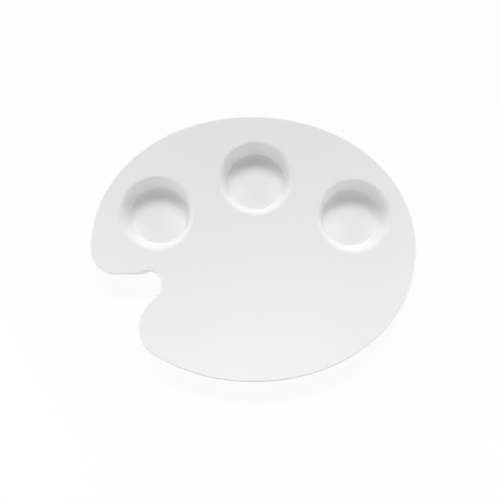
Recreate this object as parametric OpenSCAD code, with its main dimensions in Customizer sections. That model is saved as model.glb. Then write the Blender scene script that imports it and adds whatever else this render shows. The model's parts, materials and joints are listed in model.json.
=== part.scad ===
// Oval mixing palette with three round wells and an open thumb notch.
// It is one thin-walled plastic moulding, hollow underneath: a flat deck, a rim
// turned down all round it, and three wells let down to the table.
// Millimetres. +X is to the right, +Y to the back, where the wells are, +Z up.
// The origin is on the table, under the middle of the oval.

/* [Deck] */
// Length of the palette over the foot of its rim, left to right
deck_length = 250; // [235:1:280]
// Width of the palette over the foot of its rim, front to back
deck_width = 204; // [190:1:230]
// Fullness of the oval: 2 is an ellipse, and more swells its corners
fullness = 2.04; // [1.9:0.02:2.3]
// Height of the palette, from the table to the top of the deck
deck_height = 14; // [11:0.5:20]
// Thickness of the deck, the rim and the wells
wall = 2; // [1.4:0.1:2.6]

/* [Rim] */
// Radius of the rounded edge between the deck and the rim
edge_r = 1.5; // [0.8:0.1:2.5]
// Radius of the fillet under the deck, inside the rim
inside_r = 1; // [0.5:0.1:2]
// Lean of the rim, in degrees: its foot stands out further than the deck
rim_lean = 2; // [0:0.5:5]
// Size of the small flats that break both corners of the rim's foot
foot_break = 0.4; // [0.2:0.1:0.6]

/* [Wells] */
// Diameter of a well where its rounded mouth meets the deck
mouth_d = 58.5; // [53:0.5:61]
// Diameter of the flat floor of a well
floor_d = 45; // [36:0.5:46]
// Radius of the rounded mouth
mouth_r = 3.5; // [2.7:0.1:5]
// Radius of the fillet between a well's floor and its side
crease_r = 0.8; // [0.4:0.1:2]
// Distance from the back of the palette to the middle of the middle well
middle_well_in = 48.8; // [42:0.1:52]
// Distance from the back of the palette to the middles of the side wells
side_well_in = 76.7; // [72:0.1:84]
// Distance from each end of the palette to the middle of the well near it
end_well_in = 49.5; // [46:0.1:54]
// Shift of the three wells to the right, away from the thumb notch
well_shift = 1; // [-2:0.5:3]

/* [Thumb notch] */
// Distance from the middle of the palette forward to the notch's back edge
notch_y = 22; // [17:0.5:26]
// Distance from the left end of the palette to the deepest point of the notch
notch_depth = 55; // [48:0.5:62]
// Radius of the round pocket that the thumb lies in
pocket_r = 9.6; // [8:0.1:12]
// How far the pocket reaches back behind the notch's back edge
pocket_rise = 2.5; // [1:0.25:4]
// Radius of the bend between the back edge and the pocket
bend_r = 20; // [8:0.5:26]
// Slant of the notch's front edge, in degrees from the X axis
slant = 46; // [40:0.5:56]
// Radius of the corner behind the notch
back_lobe_r = 20; // [16:0.5:26]
// Radius of the corner in front of the notch
front_lobe_r = 25; // [16:0.5:30]

/* [Hidden] */

// Steps along each stretch of the outline and round each edge of the section
oval_steps = 96;
back_lobe_steps = 14;
bend_steps = 6;
pocket_back_steps = 4;
pocket_steps = 16;
front_lobe_steps = 16;
edge_steps = 5;
inside_steps = 3;
mouth_steps = 6;
crease_steps = 3;
round_sides = 72;

// How far a cutting solid runs past the face that it opens
past = 1;
// How far the last step of a well's line runs past the deck's face, as a share
// of that step
run_on = 0.3;

// ---- Outline ------------------------------------------------------------
// A list of stations round the foot of the rim, anticlockwise from above. Each
// is [point, outward normal], so any inner line follows by stepping inwards.

semi_x = deck_length / 2;
semi_y = deck_width / 2;

function heading(a) = [cos(a), sin(a)];
function unit(v) = v / norm(v);
function bearing(v) = (atan2(v[1], v[0]) + 360) % 360;

function signed_pow(v, power) = sign(v) * pow(abs(v), power);

// Point and outward normal of the oval at the angle t. It is the curve
// |x / semi_x| ^ fullness + |y / semi_y| ^ fullness = 1.
point_power = 2 / fullness;
slope_power = 2 - point_power;
function oval_at(t) = [
    semi_x * signed_pow(cos(t), point_power),
    semi_y * signed_pow(sin(t), point_power)
];
function oval_out(t) = unit([
    signed_pow(cos(t), slope_power) / semi_x,
    signed_pow(sin(t), slope_power) / semi_y
]);

// Middle of a circle of radius r that touches the oval from inside at t
function inside_oval(t, r) = oval_at(t) - r * oval_out(t);

// How far that circle stays off a straight edge through p, where u is the
// edge's normal that points into the palette
function gap_to_edge(t, r, p, u) = (inside_oval(t, r) - p) * u - r;

// The angle between lo and hi at which it touches the edge, found by halving
function touch_angle(r, p, u, lo, hi, turns = 30) =
    let (mid = (lo + hi) / 2)
    let (same_side = gap_to_edge(lo, r, p, u) * gap_to_edge(mid, r, p, u) > 0)
    turns == 0 ? mid
    : same_side ? touch_angle(r, p, u, mid, hi, turns - 1)
    : touch_angle(r, p, u, lo, mid, turns - 1);

// Stations on an arc between two bearings. out is -1 on a hollow arc, and
// first is 1 where the arc's own first station is already there.
function arc(c, r, a0, a1, steps, out = 1, first = 0) = [
    for (i = [first:steps])
        let (n = heading(a0 + (a1 - a0) * i / steps))
        [c + r * n, out * n]
];

// The pocket, and the slanted front edge that leaves it
pocket_c = [notch_depth - semi_x - pocket_r, pocket_rise - notch_y - pocket_r];
slant_in = heading(slant - 90);

// The corners on both sides of the notch roll along the inside of the oval
// until they touch the notch's straight edges. On the oval, the left end is at
// 180 degrees and the front at 270, so each corner is sought between two angles
// on its own side of the notch.
back_t = touch_angle(back_lobe_r, [0, -notch_y], [0, 1], 140, 220);
back_c = inside_oval(back_t, back_lobe_r);
front_t = touch_angle(front_lobe_r, pocket_c + pocket_r * slant_in, slant_in, 200, 270);
front_c = inside_oval(front_t, front_lobe_r);

// The bend touches the straight back edge and, from outside, the pocket
bend_up = bend_r - notch_y - pocket_c[1];
bend_c = pocket_c + [-sqrt(pow(pocket_r + bend_r, 2) - pow(bend_up, 2)), bend_up];
bend_end = bearing(pocket_c - bend_c);

// The stations behind the notch end at the rearmost point of the pocket
behind_notch = concat(
    arc(back_c, back_lobe_r, bearing(oval_out(back_t)), 270, back_lobe_steps),
    arc(bend_c, bend_r, 270, bend_end, bend_steps),
    arc(pocket_c, pocket_r, bend_end - 180, 90, pocket_back_steps, out = -1, first = 1)
);
in_front = concat(
    arc(pocket_c, pocket_r, 90, slant - 90, pocket_steps, out = -1, first = 1),
    arc(front_c, front_lobe_r, slant + 90, bearing(oval_out(front_t)), front_lobe_steps)
);
round_oval = [
    for (i = [1:oval_steps - 1])
        let (t = front_t + (back_t + 360 - front_t) * i / oval_steps)
        [oval_at(t), oval_out(t)]
];
outline = concat(behind_notch, in_front, round_oval);

// ---- Deck and rim -------------------------------------------------------

// Section through the rim, as [distance in from the outline, height], from
// the top of the deck over the edge, round the foot and up to the underside.
// Its two ends are given in full, so that they lie on the deck's faces exactly.
lean = tan(rim_lean);
rim_in = wall / cos(rim_lean);
edge_z = deck_height - edge_r;
edge_in = edge_r / cos(rim_lean) + edge_z * lean;
inside_z = deck_height - wall - inside_r;
inside_in = rim_in + inside_r / cos(rim_lean) + inside_z * lean;

section = concat(
    [[edge_in, deck_height]],
    [for (i = [1:edge_steps])
        [edge_in, edge_z] + edge_r * heading(90 + (90 - rim_lean) * i / edge_steps)],
    [[foot_break * lean, foot_break], [foot_break, 0]],
    [[rim_in - foot_break, 0], [rim_in + foot_break * lean, foot_break]],
    [for (i = [inside_steps:-1:1])
        [inside_in, inside_z] + inside_r * heading(90 + (90 - rim_lean) * i / inside_steps)],
    [[inside_in, deck_height - wall]]
);

// The section swept round the outline. Each flat is filled by fans from two
// hubs: one behind the notch, which sees all that lies behind it, and the
// middle of the oval, which sees the rest.
module deck_and_rim() {
    count = len(outline);
    rings = len(section);
    turn = len(behind_notch) - 1;
    hubs = [[0, 0], back_c - [0, back_lobe_r / 2]];
    top_hub = count * rings;
    under_hub = top_hub + len(hubs);
    under_ring = count * (rings - 1);
    points = concat(
        [for (s = section, st = outline) let (p = st[0] - s[0] * st[1]) [p[0], p[1], s[1]]],
        [for (h = hubs) [h[0], h[1], deck_height]],
        [for (h = hubs) [h[0], h[1], deck_height - wall]]
    );
    sides = [
        for (k = [0:rings - 2], i = [0:count - 1])
            let (a = k * count + i, b = k * count + (i + 1) % count)
            each [[a, b, b + count], [a, b + count, a + count]]
    ];
    top = [
        for (i = [0:count - 1])
            [top_hub + (i < turn ? 1 : 0), (i + 1) % count, i]
    ];
    under = [
        for (i = [0:count - 1])
            [under_hub + (i < turn ? 1 : 0), under_ring + i, under_ring + (i + 1) % count]
    ];
    between_hubs = [
        [top_hub, top_hub + 1, 0],
        [top_hub, turn, top_hub + 1],
        [under_hub, under_ring, under_hub + 1],
        [under_hub, under_hub + 1, under_ring + turn]
    ];
    polyhedron(points, concat(sides, top, under, between_hubs));
}

// ---- Wells --------------------------------------------------------------

well_places = [
    [end_well_in - semi_x + well_shift, semi_y - side_well_in],
    [well_shift, semi_y - middle_well_in],
    [semi_x - end_well_in + well_shift, semi_y - side_well_in]
];

// The sloping side runs from the floor to the rounded mouth, and touches both
// the fillet at its foot and the mouth's round
crease = [floor_d / 2, wall];
mouth_c = [mouth_d / 2, deck_height - mouth_r];
side_slope = bearing(mouth_c - crease) + asin(mouth_r / norm(mouth_c - crease));
crease_c = crease + crease_r * [-tan(side_slope / 2), 1];

// Line of the well's inner face, or of a face that lies `out` further out. Its
// last step runs on past the deck's face, and so cuts that face cleanly where
// the mouth's round touches it.
function well_line(out) =
    let (r = mouth_r - out)
    let (touch = mouth_c + [0, r])
    let (last_step = touch - mouth_c - r * heading(90 + side_slope / mouth_steps))
    concat(
        [[crease_c[0], wall - out]],
        [for (i = [1:crease_steps])
            crease_c + (crease_r + out) * heading(side_slope * i / crease_steps - 90)],
        [for (i = [0:mouth_steps - 1])
            mouth_c + r * heading(90 + side_slope * (1 - i / mouth_steps))],
        [touch + run_on * last_step]
    );

module turned(line, top) {
    first = line[0];
    last = line[len(line) - 1];
    rotate_extrude($fn = round_sides)
        polygon(concat([[0, first[1]]], line, [[last[0], top], [0, top]]));
}

module well_shells() {
    for (p = well_places)
        translate(p)
            turned(well_line(wall), deck_height - wall / 2);
}

module well_hollows() {
    for (p = well_places)
        translate(p)
            turned(well_line(0), deck_height + past);
}

module palette() {
    color("white")
        difference() {
            union() {
                deck_and_rim();
                well_shells();
            }
            well_hollows();
        }
}

palette();
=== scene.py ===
# An oval mixing palette, one moulding in white plastic, on a plain pale table.
# Metres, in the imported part's frame: +X to the right, +Y to the back, +Z up, and
# z = 0 is the table.

import json
from math import asin, atan2, ceil, cos, hypot, pi, radians, sin, tan

import bpy
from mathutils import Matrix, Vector


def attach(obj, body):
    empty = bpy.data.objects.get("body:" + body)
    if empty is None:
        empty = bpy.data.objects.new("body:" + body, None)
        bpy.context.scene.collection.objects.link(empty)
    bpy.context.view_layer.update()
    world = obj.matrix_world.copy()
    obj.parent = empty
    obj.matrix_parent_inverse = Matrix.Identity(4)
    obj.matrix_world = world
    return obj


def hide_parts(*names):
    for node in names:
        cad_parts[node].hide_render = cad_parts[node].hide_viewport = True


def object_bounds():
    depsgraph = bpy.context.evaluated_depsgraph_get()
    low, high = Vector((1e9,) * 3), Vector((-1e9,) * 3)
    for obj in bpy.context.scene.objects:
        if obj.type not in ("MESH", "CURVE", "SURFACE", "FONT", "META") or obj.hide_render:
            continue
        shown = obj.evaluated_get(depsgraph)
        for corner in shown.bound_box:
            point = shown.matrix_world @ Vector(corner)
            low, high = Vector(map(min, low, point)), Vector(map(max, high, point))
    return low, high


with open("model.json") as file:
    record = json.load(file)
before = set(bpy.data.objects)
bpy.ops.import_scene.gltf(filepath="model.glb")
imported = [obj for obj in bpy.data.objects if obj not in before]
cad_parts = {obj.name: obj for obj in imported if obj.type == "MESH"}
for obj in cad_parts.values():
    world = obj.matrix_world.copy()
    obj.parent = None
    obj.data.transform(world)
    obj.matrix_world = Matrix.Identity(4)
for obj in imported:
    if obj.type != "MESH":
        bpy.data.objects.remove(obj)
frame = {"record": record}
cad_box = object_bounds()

MM = 0.001

# ---- Camera -------------------------------------------------------------
# It looks almost straight down, from a little in front of the palette's middle.

CAMERA_PLACE = Vector((-4.14, -11.84, 314.0)) * MM
CAMERA_TILT = (radians(1.932), radians(-0.271), radians(0.732))
CAMERA_LENS = 28.39


def add_object(name, data):
    thing = bpy.data.objects.new(name, data)
    bpy.context.scene.collection.objects.link(thing)
    return thing


camera = add_object("camera", bpy.data.cameras.new("camera"))
camera.data.lens = CAMERA_LENS
camera.data.clip_start = 10 * MM
camera.location = CAMERA_PLACE
camera.rotation_mode = "ZYX"
camera.rotation_euler = CAMERA_TILT
bpy.context.scene.camera = camera

# ---- Sizes --------------------------------------------------------------
# The length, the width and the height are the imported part's own, and so are
# the places of the wells. The rest are the moulding's sizes.

low, high = cad_box
SEMI_X = (high.x - low.x) / 2
SEMI_Y = (high.y - low.y) / 2
DECK = high.z
FULLNESS = 2.04

WALL = 2.0 * MM
LEAN = radians(2)
EDGE_ROUND = 1.5 * MM
INSIDE_ROUND = 1.0 * MM
FOOT_ROUND = 0.4 * MM

MOUTH_RADIUS = 29.25 * MM
MOUTH_ROUND = 3.5 * MM
FLOOR_RADIUS = 22.5 * MM
CREASE_ROUND = 0.8 * MM

NOTCH_Y = -22.0 * MM
NOTCH_END = 55.0 * MM - SEMI_X
POCKET_RADIUS = 9.6 * MM
POCKET_RISE = 2.5 * MM
BEND_RADIUS = 20.0 * MM
SLANT = radians(46)
BACK_LOBE = 20.0 * MM
FRONT_LOBE = 25.0 * MM

# Marks that the mould leaves under the deck: the ejector pins and the gate
PINS = 11
PIN_RADIUS = 2.5 * MM
PIN_SINK = 0.12 * MM
PIN_INSET = 9.0 * MM
GATE_RADIUS = 1.4 * MM
GATE_STUB = 0.35 * MM

# Length of one step along the outline, the flat that is left beside a round,
# how near two points are joined, and the sides of a well and of a small mark
STEP = 1.0 * MM
LAND = 0.25 * MM
WELD = 0.002 * MM
ROUND_SIDES = 144
MARK_SIDES = 36


def well_middles():
    """The middles of the wells, from the rooms that the record keeps open."""
    rooms = frame["record"]["physics"]["openings"]
    boxes = [room["box_m"] for room in rooms if room["name"].endswith("_well")]
    return [Vector(((a[0] + b[0]) / 2, (a[1] + b[1]) / 2, 0)) for a, b in boxes]


# ---- Outline ------------------------------------------------------------


def heading(angle):
    return Vector((cos(angle), sin(angle)))


def bearing(v):
    return atan2(v.y, v.x) % (2 * pi)


def signed_power(value, power):
    return abs(value) ** power * (1 if value > 0 else -1)


def on_oval(t):
    power = 2 / FULLNESS
    return Vector((SEMI_X * signed_power(cos(t), power), SEMI_Y * signed_power(sin(t), power)))


def out_of_oval(t):
    power = 2 - 2 / FULLNESS
    across, back = signed_power(cos(t), power) / SEMI_X, signed_power(sin(t), power) / SEMI_Y
    return Vector((across, back)).normalized()


def inside_oval(t, radius):
    """Middle of a circle that touches the oval from inside at t."""
    return on_oval(t) - radius * out_of_oval(t)


def touching(radius, point, inward, low_t, high_t, halvings=40):
    """Where such a circle also touches the straight edge through a point."""

    def gap(t):
        return (inside_oval(t, radius) - point).dot(inward) - radius

    for _ in range(halvings):
        middle = (low_t + high_t) / 2
        if gap(low_t) * gap(middle) > 0:
            low_t = middle
        else:
            high_t = middle
    return low_t


def arc(middle, radius, start, end):
    steps = ceil(abs(end - start) * radius / STEP)
    return [middle + radius * heading(start + (end - start) * i / steps) for i in range(steps + 1)]


def straight(a, b):
    """The points between two corners, without the corners themselves."""
    steps = ceil((b - a).length / STEP)
    return [a.lerp(b, i / steps) for i in range(1, steps)]


def palette_outline():
    """Points round the foot of the rim, anticlockwise from above."""
    pocket = Vector((NOTCH_END - POCKET_RADIUS, NOTCH_Y + POCKET_RISE - POCKET_RADIUS))
    slant_in = heading(SLANT - pi / 2)

    back_t = touching(BACK_LOBE, Vector((0, NOTCH_Y)), Vector((0, 1)), radians(140), radians(220))
    back = inside_oval(back_t, BACK_LOBE)
    slant_foot = pocket + POCKET_RADIUS * slant_in
    front_t = touching(FRONT_LOBE, slant_foot, slant_in, radians(200), radians(270))
    front = inside_oval(front_t, FRONT_LOBE)

    bend_up = BEND_RADIUS + NOTCH_Y - pocket.y
    bend_along = ((POCKET_RADIUS + BEND_RADIUS) ** 2 - bend_up**2) ** 0.5
    bend = pocket + Vector((-bend_along, bend_up))
    bend_end = bearing(pocket - bend)

    back_lobe = arc(back, BACK_LOBE, bearing(out_of_oval(back_t)), 3 * pi / 2)
    bend_arc = arc(bend, BEND_RADIUS, 3 * pi / 2, bend_end)
    pocket_arc = arc(pocket, POCKET_RADIUS, bend_end - pi, SLANT - pi / 2)
    front_lobe = arc(front, FRONT_LOBE, SLANT + pi / 2, bearing(out_of_oval(front_t)))
    sweep = back_t + 2 * pi - front_t
    steps = ceil(sweep * (SEMI_X + SEMI_Y) / 2 / STEP)
    oval = [on_oval(front_t + sweep * i / steps) for i in range(1, steps)]
    return (
        back_lobe
        + straight(back_lobe[-1], bend_arc[0])
        + bend_arc
        + pocket_arc[1:]
        + straight(pocket_arc[-1], front_lobe[0])
        + front_lobe
        + oval
    )


# ---- Node graphs --------------------------------------------------------


class Wire:
    """An output socket. Arithmetic on it adds Math nodes to its graph."""

    def __init__(self, graph, socket):
        self.graph = graph
        self.socket = socket

    def maths(self, operation, *values):
        sockets = dict(enumerate(values))
        return self.graph.add("ShaderNodeMath", {"operation": operation}, sockets)[0]

    def __add__(self, other):
        return self.maths("ADD", self, other)

    def __radd__(self, other):
        return self.maths("ADD", other, self)

    def __sub__(self, other):
        return self.maths("SUBTRACT", self, other)

    def __rsub__(self, other):
        return self.maths("SUBTRACT", other, self)

    def __mul__(self, other):
        return self.maths("MULTIPLY", self, other)

    def __rmul__(self, other):
        return self.maths("MULTIPLY", other, self)

    def __neg__(self):
        return self.maths("MULTIPLY", self, -1)

    def __gt__(self, other):
        return self.maths("GREATER_THAN", self, other)

    def __lt__(self, other):
        return self.maths("LESS_THAN", self, other)

    def larger(self, other):
        return self.maths("MAXIMUM", self, other)

    def ramp(self, start, end):
        """0 up to start, 1 from end on, and smooth between them."""
        settings = {"interpolation_type": "SMOOTHSTEP"}
        sockets = {"Value": self, "From Min": start, "From Max": end}
        return self.graph.add("ShaderNodeMapRange", settings, sockets)["Result"]


class Node:
    """A node. Its outputs are wires, by name or number."""

    def __init__(self, graph, node):
        self.graph = graph
        self.node = node

    def __getitem__(self, key):
        return Wire(self.graph, find_socket(self.node.outputs, key))


def find_socket(sockets, key):
    """The socket with that name which the node's settings leave in use."""
    if isinstance(key, int):
        return sockets[key]
    return next(s for s in sockets if s.name == key and not s.is_unavailable)


class Graph:
    """A node tree that is written from left to right."""

    def __init__(self, tree):
        self.tree = tree

    def add(self, kind, settings=None, sockets=None):
        node = self.tree.nodes.new(kind)
        for name, value in (settings or {}).items():
            setattr(node, name, value)
        for key, value in (sockets or {}).items():
            self.plug(find_socket(node.inputs, key), value)
        return Node(self, node)

    def plug(self, socket, value):
        if isinstance(value, (list, tuple)) and value and isinstance(value[0], Wire):
            for wire in value:
                self.tree.links.new(wire.socket, socket)
        elif isinstance(value, Wire):
            self.tree.links.new(value.socket, socket)
        else:
            socket.default_value = value


# ---- Moulding -----------------------------------------------------------


class Moulding(Graph):
    """The geometry tree that makes the palette from its outline and sizes."""

    def __init__(self, name):
        super().__init__(bpy.data.node_groups.new(name, "GeometryNodeTree"))
        sockets = self.tree.interface
        sockets.new_socket("Geometry", in_out="OUTPUT", socket_type="NodeSocketGeometry")
        self.inputs = self.tree.nodes.new("NodeGroupInput")
        self.values = {}

    def size(self, name, value, kind="NodeSocketFloat"):
        """A named input of the tree. Its value is set on the modifier."""
        socket = self.tree.interface.new_socket(name, in_out="INPUT", socket_type=kind)
        self.values[socket.identifier] = value
        return Wire(self, next(s for s in self.inputs.outputs if s.identifier == socket.identifier))

    def made(self, name, maker):
        """The geometry of another object, which is an input of the tree."""
        source = self.size(name, maker, "NodeSocketObject")
        return self.add("GeometryNodeObjectInfo", {}, {"Object": source})["Geometry"]

    def pick(self, kind, choices):
        """One of the choices for each point, by the point's index."""
        switch = self.add("GeometryNodeIndexSwitch", {"data_type": kind})
        for _ in choices[2:]:
            switch.node.index_switch_items.new()
        self.plug(switch.node.inputs["Index"], self.add("GeometryNodeInputIndex")[0])
        for place, choice in enumerate(choices):
            self.plug(switch.node.inputs[place + 1], choice)
        return switch[0]

    def section(self, corners):
        """An open line through corners (outwards, up, round, steps).

        Its first and last corners stay sharp, and the others are rounded.
        """
        line = self.add("GeometryNodeMeshLine", {}, {"Count": len(corners)})["Mesh"]
        places = [
            self.add("ShaderNodeCombineXYZ", {}, {"X": across, "Y": -up})[0]
            if isinstance(across, Wire) or isinstance(up, Wire)
            else (across, -up, 0)
            for across, up, _, _ in corners
        ]
        sockets = {"Geometry": line, "Position": self.pick("VECTOR", places)}
        bent = self.add("GeometryNodeSetPosition", {}, sockets)[0]
        curve = self.add("GeometryNodeMeshToCurve", {}, {"Mesh": bent})[0]
        return self.add(
            "GeometryNodeFilletCurve",
            {"mode": "POLY"},
            {
                "Curve": curve,
                "Count": self.pick("INT", [steps for _, _, _, steps in corners]),
                "Radius": self.pick("FLOAT", [turn for _, _, turn, _ in corners]),
            },
        )[0]

    def swept(self, path, section):
        level = self.level(path)
        return self.add("GeometryNodeCurveToMesh", {}, {"Curve": level, "Profile Curve": section})[0]

    def level(self, path):
        """The path with its normals level, so that a section swept along it stays upright."""
        return self.add("GeometryNodeSetCurveNormal", {"mode": "Z_UP"}, {"Curve": path})[0]

    def flipped(self, mesh):
        return self.add("GeometryNodeFlipFaces", {}, {"Mesh": mesh})[0]

    def turned(self, radius, sides, corners):
        """A section turned round the Z axis. Its first corner is on the axis."""
        size = {"Resolution": sides, "Radius": radius}
        circle = self.add("GeometryNodeCurvePrimitiveCircle", {}, size)[0]
        inner = [(across - radius, up, turn, steps) for across, up, turn, steps in corners]
        return self.swept(circle, self.section(inner))

    def at_each(self, points, mesh):
        sockets = {"Points": points, "Instance": mesh}
        copies = self.add("GeometryNodeInstanceOnPoints", {}, sockets)[0]
        return self.add("GeometryNodeRealizeInstances", {}, {"Geometry": copies})[0]

    def joined(self, *meshes):
        return self.add("GeometryNodeJoinGeometry", {}, {"Geometry": meshes[::-1]})[0]

    def lid(self, mesh, height, slack):
        """The flat face that fills the open edges of a mesh at one height."""
        place = self.add("GeometryNodeInputPosition")[0]
        z = self.add("ShaderNodeSeparateXYZ", {}, {"Vector": place})["Z"]
        edge = self.add("GeometryNodeInputMeshEdgeNeighbors")["Face Count"] < 1.5
        level = (z > height - slack) * (z < height + slack)
        open_edges = {"Mesh": mesh, "Selection": edge * level}
        rings = self.add("GeometryNodeMeshToCurve", {}, open_edges)[0]
        flat = self.add("GeometryNodeFillCurve", {"mode": "TRIANGLES"}, {"Curve": rings})[0]
        lift = self.add("ShaderNodeCombineXYZ", {}, {"Z": height})[0]
        return self.add("GeometryNodeTransform", {}, {"Geometry": flat, "Translation": lift})[0]


def poly_curve(name, points):
    curve = bpy.data.curves.new(name, "CURVE")
    curve.dimensions = "3D"
    spline = curve.splines.new("POLY")
    spline.points.add(len(points) - 1)
    for place, point in zip(spline.points, points):
        place.co = (point.x, point.y, 0, 1)
    spline.use_cyclic_u = True
    return add_object(name, curve)


def point_mesh(name, points):
    mesh = bpy.data.meshes.new(name)
    mesh.from_pydata([tuple(p) for p in points], [], [])
    return add_object(name, mesh)


def well_slope():
    """Slope of a well's side, which touches the mouth's round and meets the floor."""
    across, up = MOUTH_RADIUS - FLOOR_RADIUS, DECK - MOUTH_ROUND - WALL
    return atan2(up, across) + asin(MOUTH_ROUND / hypot(across, up))


def moulding_tree(outline, wells, plastic):
    tree = Moulding("palette moulding")
    size = tree.size
    foot = tree.made("Outline", outline)
    middles = tree.made("Well middles", wells)
    deck = size("Deck height", DECK)
    wall = size("Wall", WALL)
    land = size("Flat beside a round", LAND)
    lean = size("Lean of the rim", tan(LEAN))
    edge = size("Round of the edge", EDGE_ROUND)
    inside = size("Fillet inside the rim", INSIDE_ROUND)
    foot_round = size("Round of the foot", FOOT_ROUND)
    mouth = size("Mouth radius", MOUTH_RADIUS)
    mouth_round = size("Round of the mouth", MOUTH_ROUND)
    floor = size("Floor radius", FLOOR_RADIUS)
    crease = size("Fillet round the floor", CREASE_ROUND)
    half_slope = size("Half slope of a well's side", tan(well_slope() / 2))
    sides = size("Sides of a round", ROUND_SIDES, "NodeSocketInt")
    under = deck - wall

    rim = tree.swept(
        foot,
        tree.section(
            [
                (-(edge + deck * lean + land), deck, 0.0, 1),
                (-(deck * lean), deck, edge, 10),
                (0.0, 0.0, foot_round, 3),
                (-wall, 0.0, foot_round, 3),
                (-(wall + under * lean), under, inside, 6),
                (-(wall + under * lean + inside + land), under, 0.0, 1),
            ]
        ),
    )

    brim = mouth - mouth_round * half_slope
    hollow = tree.turned(
        mouth,
        sides,
        [
            (0.0, wall, 0.0, 1),
            (floor, wall, crease, 6),
            (brim, deck, mouth_round, 12),
            (mouth + land, deck, 0.0, 1),
        ],
    )
    shift = wall * half_slope
    shell = tree.turned(
        mouth,
        sides,
        [
            (0.0, 0.0, 0.0, 1),
            (floor + shift, 0.0, crease + wall, 8),
            (brim + shift, under, mouth_round - wall, 6),
            (mouth + land, under, 0.0, 1),
        ],
    )
    wells = tree.at_each(middles, tree.joined(hollow, tree.flipped(shell)))
    body = tree.joined(rim, wells, *mould_marks(tree, foot, under, land))

    slack = size("Weld", WELD)
    top = tree.lid(body, deck, slack)
    underside = tree.flipped(tree.lid(body, under, slack))
    parts = tree.joined(body, top, underside)
    whole = tree.add("GeometryNodeMergeByDistance", {}, {"Geometry": parts, "Distance": slack})[0]
    smooth = tree.add("GeometryNodeSetShadeSmooth", {}, {"Geometry": whole})[0]
    finish = size("Plastic", plastic, "NodeSocketMaterial")
    done = tree.add("GeometryNodeSetMaterial", {}, {"Geometry": smooth, "Material": finish})[0]
    tree.add("NodeGroupOutput", {}, {"Geometry": done})
    return tree


def mould_marks(tree, foot, under, land):
    """The sunk rings of the ejector pins, and the stub where the plastic came in."""
    pin = tree.size("Pin radius", PIN_RADIUS)
    sink = tree.size("Depth of a pin's mark", PIN_SINK)
    stub_radius = tree.size("Gate radius", GATE_RADIUS)
    stub = tree.size("Height of the gate's stub", GATE_STUB)
    sides = tree.size("Sides of a mark", MARK_SIDES, "NodeSocketInt")

    mark = tree.turned(
        pin,
        sides,
        [
            (0.0, under + sink, 0.0, 1),
            (pin, under + sink, 0.0, 1),
            (pin, under, 0.0, 1),
            (pin + land, under, 0.0, 1),
        ],
    )
    normal = tree.add("GeometryNodeInputNormal")["Normal"]
    inwards = tree.add(
        "ShaderNodeVectorMath",
        {"operation": "SCALE"},
        {"Vector": normal, "Scale": -tree.size("Pins inside the outline", PIN_INSET)},
    )["Vector"]
    shifted = {"Geometry": tree.level(foot), "Offset": inwards}
    row = tree.add("GeometryNodeSetPosition", {}, shifted)[0]
    spread = tree.add(
        "GeometryNodeResampleCurve",
        {"mode": "COUNT"},
        {"Curve": row, "Count": tree.size("Pins", PINS, "NodeSocketInt")},
    )[0]
    pins = tree.at_each(spread, mark)

    gate = tree.turned(
        stub_radius,
        sides,
        [
            (0.0, under - stub, 0.0, 1),
            (stub_radius * 0.8, under - stub, 0.0, 1),
            (stub_radius, under, 0.0, 1),
            (stub_radius + land, under, 0.0, 1),
        ],
    )
    return tree.flipped(pins), tree.flipped(gate)


def made_by(tree, name):
    """The plain mesh that a geometry tree makes, as an object at the origin."""
    maker = add_object("maker", bpy.data.meshes.new("maker"))
    nodes = maker.modifiers.new("moulding", "NODES")
    nodes.node_group = tree.tree
    for identifier, value in tree.values.items():
        nodes[identifier] = value
    maker.modifiers.new("shading", "WEIGHTED_NORMAL")
    whole = maker.evaluated_get(bpy.context.evaluated_depsgraph_get())
    mesh = bpy.data.meshes.new_from_object(whole)
    mesh.name = name
    mesh.materials.pop(index=0)  # the empty one that the tree's own meshes bring
    bpy.data.objects.remove(maker)
    return add_object(name, mesh)


# ---- White plastic ------------------------------------------------------

PURE_WHITE = (0.868, 0.87, 0.871)
CLOUDED_WHITE = (0.85, 0.851, 0.85)
SCRATCHED_WHITE = (0.76, 0.76, 0.75)
SCUFFED_GREY = (0.62, 0.61, 0.59)
SATIN = 0.36
PLASTIC_IOR = 1.49

# Grains of each pattern to a metre. Scratches are far apart along themselves
# and close together across.
CLOUDS = 16.0
PEEL = 620.0
FINE_GRAIN = 5200.0
SCUFFS = 420.0
SCRATCH_BREAKS = 32.0
SCRATCH_LENGTHS = 14.0
SCRATCH_LINES = 900.0

# The directions of the scratches in radians, and how rare they are in each
SCRATCHES = ((0.4, 0.74), (1.9, 0.75), (-0.7, 0.76))


class Finish(Graph):
    """A material's node tree."""

    def __init__(self, name):
        self.material = bpy.data.materials.new(name)
        self.material.use_nodes = True
        super().__init__(self.material.node_tree)
        self.tree.nodes.clear()
        self.place = self.add("ShaderNodeTexCoord")["Object"]

    def height_of(self, vector):
        return self.add("ShaderNodeSeparateXYZ", {}, {"Vector": vector})["Z"]

    def noise(self, scale, detail=2.0, vector=None):
        """Noise from 0 to 1 with that many grains to a metre."""
        sockets = {"Vector": vector or self.place, "Scale": scale, "Detail": detail}
        return self.add("ShaderNodeTexNoise", {}, sockets)["Fac"]

    def mix(self, factor, first, second):
        first = (*first, 1) if isinstance(first, tuple) else first
        sockets = {"Factor": factor, "A": first, "B": (*second, 1)}
        return self.add("ShaderNodeMix", {"data_type": "RGBA"}, sockets)["Result"]

    def stretched(self, angle, along, across):
        """The place on the piece, turned on Z and stretched into lines."""
        scale = (along, across, across)
        sockets = {"Vector": self.place, "Rotation": (0, 0, angle), "Scale": scale}
        return self.add("ShaderNodeMapping", {}, sockets)[0]

    def output(self, shader):
        self.add("ShaderNodeOutputMaterial", {}, {"Surface": shader})
        return self.material


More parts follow.
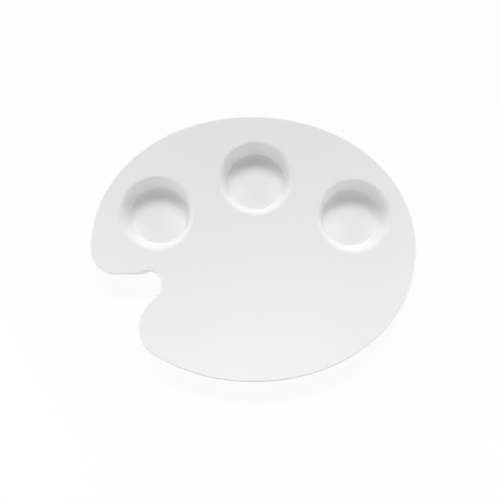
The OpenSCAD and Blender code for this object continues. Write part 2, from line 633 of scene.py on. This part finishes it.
def hairlines(finish, angle, rareness):
    """Faint straight scratches along one direction, 1 on a line and 0 off it."""
    along = finish.stretched(angle, SCRATCH_LENGTHS, SCRATCH_LINES)
    lines = finish.noise(1.0, 0.0, along)
    broken = finish.noise(SCRATCH_BREAKS, 1.0)
    return lines.ramp(rareness, rareness + 0.05) * broken.ramp(0.5, 0.62)


def white_plastic():
    """Satin white moulded plastic, with the skin of a polished mould."""
    finish = Finish("white plastic")
    z = finish.height_of(finish.place)
    facing = finish.height_of(finish.add("ShaderNodeNewGeometry")["Normal"])

    cloud = finish.noise(CLOUDS, 3.0)
    peel = finish.noise(PEEL, 2.0)
    grain = finish.noise(FINE_GRAIN, 1.0)
    scratches = sum(hairlines(finish, angle, rareness) for angle, rareness in SCRATCHES)

    # Scuffed where it stands on the table, and polished by hands at its edge
    low_down = 1 - z.ramp(0.05 * MM, 0.9 * MM)
    scuffs = low_down * finish.noise(SCUFFS, 4.0).ramp(0.42, 0.66)
    turned_edge = z.ramp(DECK - 2 * MM, DECK - 0.8 * MM) * (1 - facing.ramp(0.55, 0.98))

    white = finish.mix(cloud, PURE_WHITE, CLOUDED_WHITE)
    white = finish.mix(0.25 * scuffs, white, SCUFFED_GREY)
    white = finish.mix(0.05 * scratches, white, SCRATCHED_WHITE)

    rough = SATIN + 0.08 * (cloud - 0.5) + 0.05 * (peel - 0.5)
    rough = rough + 0.22 * scuffs + 0.08 * scratches - 0.06 * turned_edge
    height = 0.006 * peel + 0.0012 * grain - 0.0004 * scratches - 0.01 * scuffs
    relief = {"Height": height, "Distance": 1 * MM, "Strength": 1.0}
    bump = finish.add("ShaderNodeBump", {}, relief)["Normal"]

    shader = finish.add(
        "ShaderNodeBsdfPrincipled",
        {},
        {"Base Color": white, "Roughness": rough, "IOR": PLASTIC_IOR, "Normal": bump},
    )
    return finish.output(shader["BSDF"])


outline_curve = poly_curve("outline", palette_outline())
well_points = point_mesh("well middles", well_middles())
palette = made_by(moulding_tree(outline_curve, well_points, white_plastic()), "palette_moulding")
for helper in (outline_curve, well_points):
    bpy.data.objects.remove(helper)
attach(palette, "root")
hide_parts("palette")

# ---- Table, light and room ----------------------------------------------

WHITE = (1, 1, 1, 1)

TABLE_SPAN = 6.0
TABLE_GAP = 0.05 * MM
TABLE_TONE = (0.9, 0.9, 0.9)
TABLE_SHADE = (0.88, 0.88, 0.88)
TABLE_CLOUDS = 9.0
# How much of the white to the eye hides what falls on the table, such as shadows
TABLE_WHITENESS = 0.9


def to_the_eye(graph):
    """1 for the camera, in gloss and through glass, and 0 for all other light."""
    rays = graph.add("ShaderNodeLightPath")
    mirrored = rays["Is Glossy Ray"].larger(rays["Is Transmission Ray"])
    return rays["Is Camera Ray"].larger(mirrored)


def pale_table():
    """A matt pale surface under the lamps, which is nearly white to the eye."""
    finish = Finish("pale table")
    tone = finish.mix(finish.noise(TABLE_CLOUDS), TABLE_TONE, TABLE_SHADE)
    matt = finish.add("ShaderNodeBsdfDiffuse", {}, {"Color": tone})[0]
    glow = finish.add("ShaderNodeEmission", {}, {"Color": WHITE, "Strength": 1.0})[0]
    sockets = {0: TABLE_WHITENESS * to_the_eye(finish), 1: matt, 2: glow}
    return finish.output(finish.add("ShaderNodeMixShader", {}, sockets)[0])


def table_plane():
    mesh = bpy.data.meshes.new("table")
    half = TABLE_SPAN / 2
    corners = ((-half, -half), (half, -half), (half, half), (-half, half))
    mesh.from_pydata([(x, y, -TABLE_GAP) for x, y in corners], [], [(0, 1, 2, 3)])
    mesh.materials.append(pale_table())
    return add_object("table", mesh)


def panel(name, bearing_deg, rise_deg, distance, width, height, power, glare=True):
    """A soft rectangle of light that faces the palette.

    Without glare it lights the plastic, but isn't mirrored in it.
    """
    light = bpy.data.lights.new(name, "AREA")
    light.shape = "RECTANGLE"
    light.size, light.size_y = width, height
    light.energy = power
    lamp = add_object(name, light)
    a, e = radians(bearing_deg), radians(rise_deg)
    out = Vector((cos(a) * cos(e), sin(a) * cos(e), sin(e)))
    lamp.location = out * distance
    lamp.rotation_euler = out.to_track_quat("Z", "Y").to_euler()
    lamp.visible_glossy = glare


def room():
    """White all round to the eye and in the gloss, with no other light of its own."""
    world = bpy.data.worlds.new("room")
    world.use_nodes = True
    graph = Graph(world.node_tree)
    graph.tree.nodes.clear()
    sockets = {"Color": WHITE, "Strength": to_the_eye(graph)}
    white = graph.add("ShaderNodeBackground", {}, sockets)[0]
    graph.add("ShaderNodeOutputWorld", {}, {"Surface": white})
    bpy.context.scene.world = world


table_plane()

# Bearing from +X and rise above the table in degrees, distance, width and height
# in metres, and power in watts
panel("window_at_the_back", 93, 33.5, 2.0, 1.5, 0.45, 36.6, glare=False)
panel("light_overhead", 300, 78, 0.8, 0.36, 0.36, 0.8)
panel("card_at_front", 270, 50, 0.45, 0.3, 0.2, 0.44)
panel("card_at_front_left", 222, 20, 0.38, 0.26, 0.18, 0.28)
panel("card_at_front_right", 326, 24, 0.38, 0.26, 0.18, 0.19)
panel("card_at_left", 180, 12, 0.4, 0.2, 0.1, 0.3, glare=False)
panel("card_at_right", 0, 12, 0.4, 0.2, 0.1, 0.31, glare=False)
room()
bpy.context.scene.view_settings.view_transform = "Standard"
